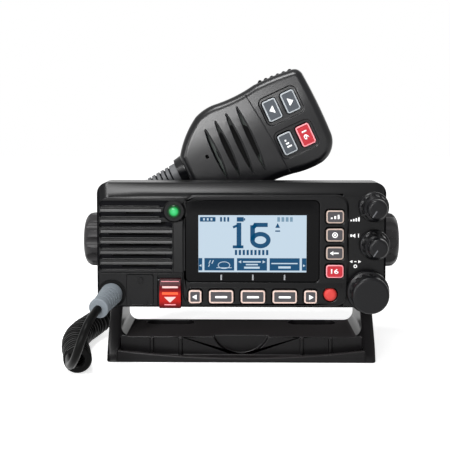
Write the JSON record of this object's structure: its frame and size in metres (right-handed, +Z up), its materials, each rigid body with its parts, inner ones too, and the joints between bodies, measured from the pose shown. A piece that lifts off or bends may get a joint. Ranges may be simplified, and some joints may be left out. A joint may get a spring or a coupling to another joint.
{
  "type": "vhf marine radio",
  "caption": "Fixed-mount marine radio on a tilting gimbal bracket, with lit display, keys, knobs, hinged distress cover and a corded fist microphone on top.",
  "frame": {"origin": "middle of the line through the two mounting slots, on the underside of the bracket's foot", "axes": "+Z up, +X to the right as seen from the front, the front faces -Y"},
  "size_m": [0.2251, 0.1918, 0.1891],
  "materials": {
    "moulded_plastic": "fine moulded texture",
    "bezel_plastic": "satin moulded",
    "clamp_plastic": "matt moulded",
    "knob_plastic": "matt moulded",
    "window_glass": "glossy window with a printed black border",
    "lcd": "lit display",
    "lamp_ring": "satin",
    "green_lens": "clear green lens",
    "steel": "stainless",
    "cast_metal": "cast, with a black powder coat",
    "black_rubber": "matt",
    "grey_rubber": "matt grey",
    "circuit_board": "green solder resist",
    "component_metal": "plain plated",
    "plated_metal": "nickel plated",
    "grey_key": "matt key with a pale outline",
    "red_key": "matt red key",
    "red_cover": "clear red cover",
    "cord_jacket": "glossy polyurethane",
    "mic_plastic": "fine moulded texture"
  },
  "bodies": {
    "base": {"bracket": "moulded_plastic", "cord_lead": "cord_jacket", "cord_coil": "cord_jacket", "cord_tail": "cord_jacket"},
    "clamp_left": {"clamp_knob_left": "clamp_plastic", "clamp_stud_left": "steel"},
    "clamp_right": {"clamp_knob_right": "clamp_plastic", "clamp_stud_right": "steel"},
    "radio": {"front_panel": "moulded_plastic", "display_bezel": "bezel_plastic", "display_glass": "window_glass", "lcd_module": "lcd", "indicator_ring": "lamp_ring", "indicator_lens": "green_lens", "speaker": "component_metal", "panel_gasket": "black_rubber", "chassis": "cast_metal", "chassis_screws": "steel", "gimbal_washers": "black_rubber", "main_board": "circuit_board", "control_board": "circuit_board", "knob_pots": "component_metal", "dial_encoder": "component_metal", "port_cover": "moulded_plastic", "port_cover_screw": "steel", "cord_gland": "black_rubber", "radio_boot": "grey_rubber", "antenna_socket": "plated_metal", "power_gland": "black_rubber", "distress_pin": "steel"},
    "squelch": {"squelch_knob": "knob_plastic"},
    "volume": {"volume_knob": "knob_plastic"},
    "dial_push": {"dial_shaft": "steel"},
    "dial": {"dial_knob": "knob_plastic"},
    "distress_lid": {"distress_cover": "red_cover"},
    "distress_button": {"distress_key": "moulded_plastic"},
    "microphone": {"mic_front_shell": "mic_plastic", "mic_rear_shell": "mic_plastic", "mic_collar": "mic_plastic", "mic_boot": "grey_rubber", "mic_speaker": "component_metal", "mic_capsule": "component_metal", "mic_board": "circuit_board", "mic_screws": "steel", "mic_hang_stud": "plated_metal"},
    "ptt": {"mic_ptt": "black_rubber"},
    "side_key_1_body": {"side_key_1": "grey_key"},
    "side_key_2_body": {"side_key_2": "grey_key"},
    "side_key_3_body": {"side_key_3": "grey_key"},
    "side_key_4_body": {"side_key_4": "red_key"},
    "soft_key_left_body": {"soft_key_left": "grey_key"},
    "soft_key_1_body": {"soft_key_1": "grey_key"},
    "soft_key_2_body": {"soft_key_2": "grey_key"},
    "soft_key_3_body": {"soft_key_3": "grey_key"},
    "soft_key_right_body": {"soft_key_right": "grey_key"},
    "round_key_body": {"round_key": "red_key"},
    "mic_key_up_body": {"mic_key_up": "grey_key"},
    "mic_key_down_body": {"mic_key_down": "grey_key"},
    "mic_key_power_body": {"mic_key_power": "grey_key"},
    "mic_key_channel_body": {"mic_key_channel": "red_key"}
  },
  "joints": [
    {"name": "radio_tilt", "type": "hinge", "parent": "base", "child": "radio", "pos_m": [0, -0.007, 0.0738], "axis": [1, 0, 0], "range_deg": [-20, 12], "deforming": ["cord_lead", "cord_coil", "cord_tail"]},
    {"name": "clamp_left_turn", "type": "hinge", "parent": "base", "child": "clamp_left", "pos_m": [-0.0872, -0.007, 0.0738], "axis": [-1, 0, 0], "range_deg": [0, 360]},
    {"name": "clamp_right_turn", "type": "hinge", "parent": "base", "child": "clamp_right", "pos_m": [0.0872, -0.007, 0.0738], "axis": [1, 0, 0], "range_deg": [0, 360]},
    {"name": "squelch_turn", "type": "hinge", "parent": "radio", "child": "squelch", "pos_m": [0.0812, -0.072, 0.1025], "axis": [0, 1, 0], "range_deg": [0, 300]},
    {"name": "volume_turn", "type": "hinge", "parent": "radio", "child": "volume", "pos_m": [0.0819, -0.072, 0.079], "axis": [0, 1, 0], "range_deg": [0, 300]},
    {"name": "dial_press", "type": "slide", "parent": "radio", "child": "dial_push", "axis": [0, 1, 0], "range_m": [0, 0.0008], "stiffness_N_per_m": 600},
    {"name": "dial_turn", "type": "hinge", "parent": "dial_push", "child": "dial", "pos_m": [0.0777, -0.072, 0.0505], "axis": [0, 1, 0], "continuous": true},
    {"name": "side_key_1_press", "type": "slide", "parent": "radio", "child": "side_key_1_body", "axis": [0, 1, 0], "range_m": [0, 0.001], "stiffness_N_per_m": 600},
    {"name": "side_key_2_press", "type": "slide", "parent": "radio", "child": "side_key_2_body", "axis": [0, 1, 0], "range_m": [0, 0.001], "stiffness_N_per_m": 600},
    {"name": "side_key_3_press", "type": "slide", "parent": "radio", "child": "side_key_3_body", "axis": [0, 1, 0], "range_m": [0, 0.001], "stiffness_N_per_m": 600},
    {"name": "side_key_4_press", "type": "slide", "parent": "radio", "child": "side_key_4_body", "axis": [0, 1, 0], "range_m": [0, 0.001], "stiffness_N_per_m": 600},
    {"name": "soft_key_left_press", "type": "slide", "parent": "radio", "child": "soft_key_left_body", "axis": [0, 1, 0], "range_m": [0, 0.001], "stiffness_N_per_m": 600},
    {"name": "soft_key_1_press", "type": "slide", "parent": "radio", "child": "soft_key_1_body", "axis": [0, 1, 0], "range_m": [0, 0.001], "stiffness_N_per_m": 600},
    {"name": "soft_key_2_press", "type": "slide", "parent": "radio", "child": "soft_key_2_body", "axis": [0, 1, 0], "range_m": [0, 0.001], "stiffness_N_per_m": 600},
    {"name": "soft_key_3_press", "type": "slide", "parent": "radio", "child": "soft_key_3_body", "axis": [0, 1, 0], "range_m": [0, 0.001], "stiffness_N_per_m": 600},
    {"name": "soft_key_right_press", "type": "slide", "parent": "radio", "child": "soft_key_right_body", "axis": [0, 1, 0], "range_m": [0, 0.001], "stiffness_N_per_m": 600},
    {"name": "round_key_press", "type": "slide", "parent": "radio", "child": "round_key_body", "axis": [0, 1, 0], "range_m": [0, 0.001], "stiffness_N_per_m": 600},
    {"name": "distress_cover_open", "type": "hinge", "parent": "radio", "child": "distress_lid", "pos_m": [-0.0439, -0.0709, 0.0566], "axis": [-1, 0, 0], "range_deg": [0, 100]},
    {"name": "distress_key_press", "type": "slide", "parent": "radio", "child": "distress_button", "axis": [0, 1, 0], "range_m": [0, 0.0008], "stiffness_N_per_m": 600},
    {"name": "mic_lift", "type": "slide", "parent": "radio", "child": "microphone", "axis": [0, 0, 1], "range_m": [0, 0.08]},
    {"name": "ptt_press", "type": "slide", "parent": "microphone", "child": "ptt", "axis": [0.4226, 0, -0.9063], "range_m": [0, 0.0015], "stiffness_N_per_m": 600},
    {"name": "mic_key_up_press", "type": "slide", "parent": "microphone", "child": "mic_key_up_body", "axis": [0, 1, 0], "range_m": [0, 0.0008], "stiffness_N_per_m": 600},
    {"name": "mic_key_down_press", "type": "slide", "parent": "microphone", "child": "mic_key_down_body", "axis": [0, 1, 0], "range_m": [0, 0.0008], "stiffness_N_per_m": 600},
    {"name": "mic_key_power_press", "type": "slide", "parent": "microphone", "child": "mic_key_power_body", "axis": [0, 1, 0], "range_m": [0, 0.0008], "stiffness_N_per_m": 600},
    {"name": "mic_key_channel_press", "type": "slide", "parent": "microphone", "child": "mic_key_channel_body", "axis": [0, 1, 0], "range_m": [0, 0.0008], "stiffness_N_per_m": 600}
  ]
}
